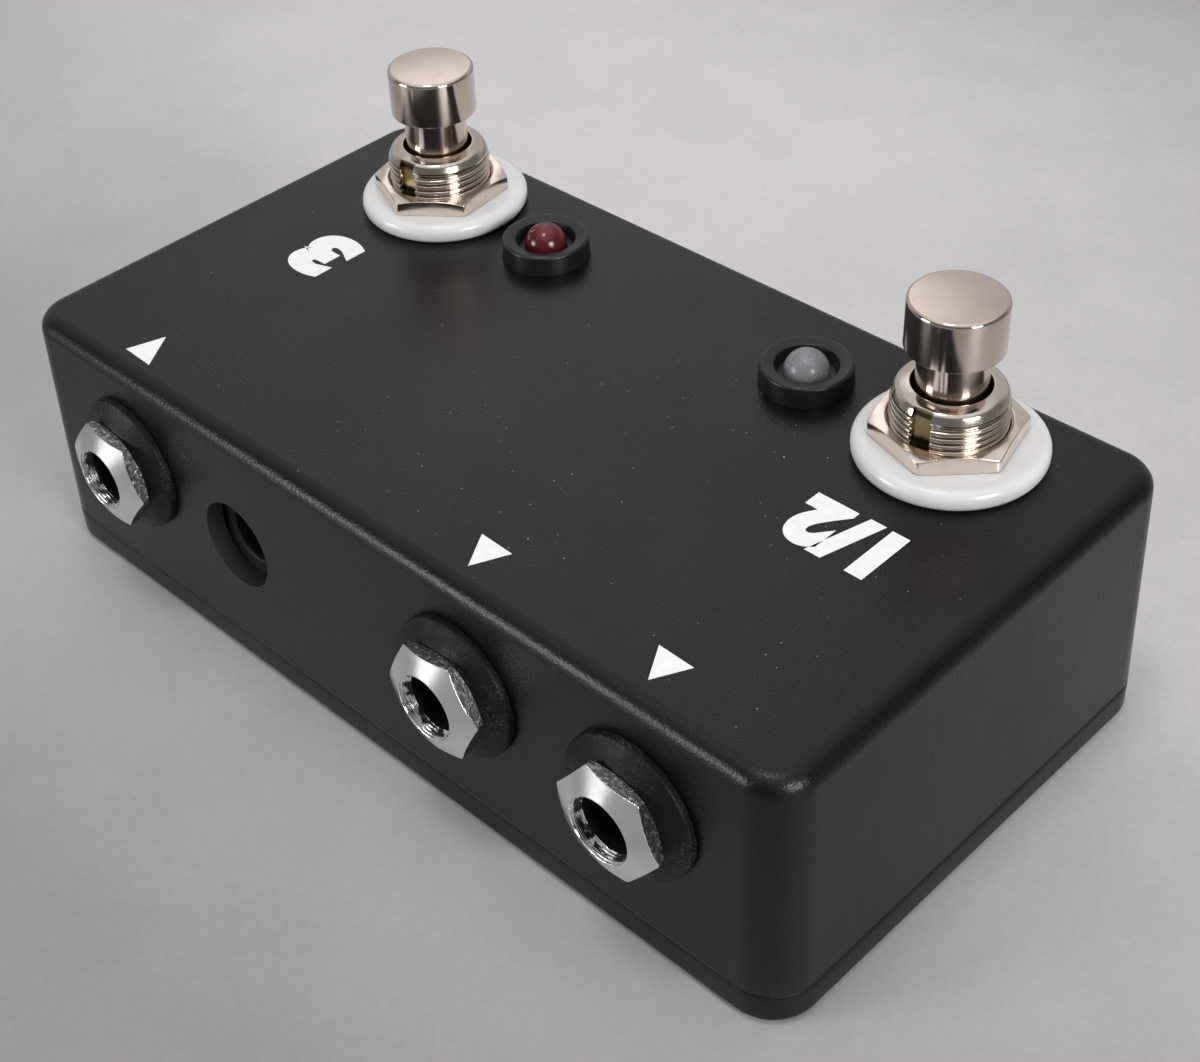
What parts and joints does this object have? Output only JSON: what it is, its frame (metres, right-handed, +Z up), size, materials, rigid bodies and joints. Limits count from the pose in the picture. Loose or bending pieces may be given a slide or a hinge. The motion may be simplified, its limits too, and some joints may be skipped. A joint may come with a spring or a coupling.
{
  "type": "audio switch pedal",
  "caption": "Die-cast foot-operated signal selector: press switches and lamps on top, phone jacks and a power inlet on one long side",
  "frame": {"origin": "the middle of the flat underside, at the height that the box stands on", "axes": "+X along the length of the box, +Y from the jack side to the plain side, +Z up through the footswitches"},
  "size_m": [0.1124, 0.0647, 0.0491],
  "materials": {
    "box_paint": "fine textured powder coat",
    "screw_steel": "zinc plated",
    "board_green": "solder mask",
    "resistor_body": "lacquered",
    "wire_white": "smooth insulation",
    "wire_red": "smooth insulation",
    "moulding_black": "moulded",
    "contact_tin": "tin plated",
    "cap_nickel": "worn nickel plate",
    "bush_nickel": "nickel plate over brass",
    "nut_nickel": "nickel plate",
    "nylon_natural": "moulded nylon",
    "spring_steel": "drawn wire",
    "washer_white": "moulded nylon",
    "lock_steel": "zinc plated",
    "frame_steel": "zinc plated",
    "housing_blue": "moulded",
    "bezel_black": "moulded",
    "lens_red": "clear tinted resin",
    "lens_clear": "clear resin",
    "washer_black": "satin",
    "nut_chrome": "bright plate"
  },
  "bodies": {
    "box": {"enclosure_body": "box_paint", "base_plate": "box_paint", "base_screws": "screw_steel", "circuit_board": "board_green", "resistors": "resistor_body", "switch_wires": "wire_white", "lamp_wires": "wire_red", "inlet_socket": "moulding_black", "inlet_pin": "contact_tin", "inlet_contact": "contact_tin", "left_return_spring": "spring_steel", "left_bushing": "bush_nickel", "left_switch_nut": "nut_nickel", "left_nylon_washer": "washer_white", "left_lock_washer": "lock_steel", "left_switch_frame": "frame_steel", "left_switch_housing": "housing_blue", "left_solder_lugs": "contact_tin", "left_lamp_bezel": "bezel_black", "left_lamp_ring": "bezel_black", "left_lamp_lens": "lens_red", "left_lamp_leads": "contact_tin", "right_return_spring": "spring_steel", "right_bushing": "bush_nickel", "right_switch_nut": "nut_nickel", "right_nylon_washer": "washer_white", "right_lock_washer": "lock_steel", "right_switch_frame": "frame_steel", "right_switch_housing": "housing_blue", "right_solder_lugs": "contact_tin", "right_lamp_bezel": "bezel_black", "right_lamp_ring": "bezel_black", "right_lamp_lens": "lens_clear", "right_lamp_leads": "contact_tin", "left_jack_body": "moulding_black", "left_jack_contacts": "contact_tin", "left_jack_washer": "washer_black", "left_jack_nut": "nut_chrome", "middle_jack_body": "moulding_black", "middle_jack_contacts": "contact_tin", "middle_jack_washer": "washer_black", "middle_jack_nut": "nut_chrome", "right_jack_body": "moulding_black", "right_jack_contacts": "contact_tin", "right_jack_washer": "washer_black", "right_jack_nut": "nut_chrome"},
    "left_plunger_group": {"left_plunger": "cap_nickel", "left_actuator": "nylon_natural"},
    "left_rocker_group": {"left_rocker": "nylon_natural"},
    "left_contact_group": {"left_seesaw_contacts": "contact_tin"},
    "right_plunger_group": {"right_plunger": "cap_nickel", "right_actuator": "nylon_natural"},
    "right_rocker_group": {"right_rocker": "nylon_natural"},
    "right_contact_group": {"right_seesaw_contacts": "contact_tin"}
  },
  "joints": [
    {"name": "left_press", "type": "slide", "parent": "box", "child": "left_plunger_group", "axis": [0, 0, -1], "range_m": [0, 0.003], "stiffness_N_per_m": 2500, "springref_m": -0.002, "deforming": ["left_return_spring"]},
    {"name": "left_throw", "type": "hinge", "parent": "box", "child": "left_rocker_group", "pos_m": [-0.03625, 0.0172, 0.0202], "axis": [1, 0, 0], "range_deg": [0, 28]},
    {"name": "left_contacts", "type": "hinge", "parent": "box", "child": "left_contact_group", "pos_m": [-0.03625, 0.0172, 0.01585], "axis": [1, 0, 0], "range_deg": [-14, 0]},
    {"name": "right_press", "type": "slide", "parent": "box", "child": "right_plunger_group", "axis": [0, 0, -1], "range_m": [0, 0.003], "stiffness_N_per_m": 2500, "springref_m": -0.002, "deforming": ["right_return_spring"]},
    {"name": "right_throw", "type": "hinge", "parent": "box", "child": "right_rocker_group", "pos_m": [0.03757, 0.0172, 0.0202], "axis": [1, 0, 0], "range_deg": [0, 28]},
    {"name": "right_contacts", "type": "hinge", "parent": "box", "child": "right_contact_group", "pos_m": [0.03757, 0.0172, 0.01585], "axis": [1, 0, 0], "range_deg": [-14, 0]}
  ],
  "couplings": [
    {"joint": "left_contacts", "follows": "left_throw", "ratio": -0.5},
    {"joint": "right_contacts", "follows": "right_throw", "ratio": -0.5}
  ]
}
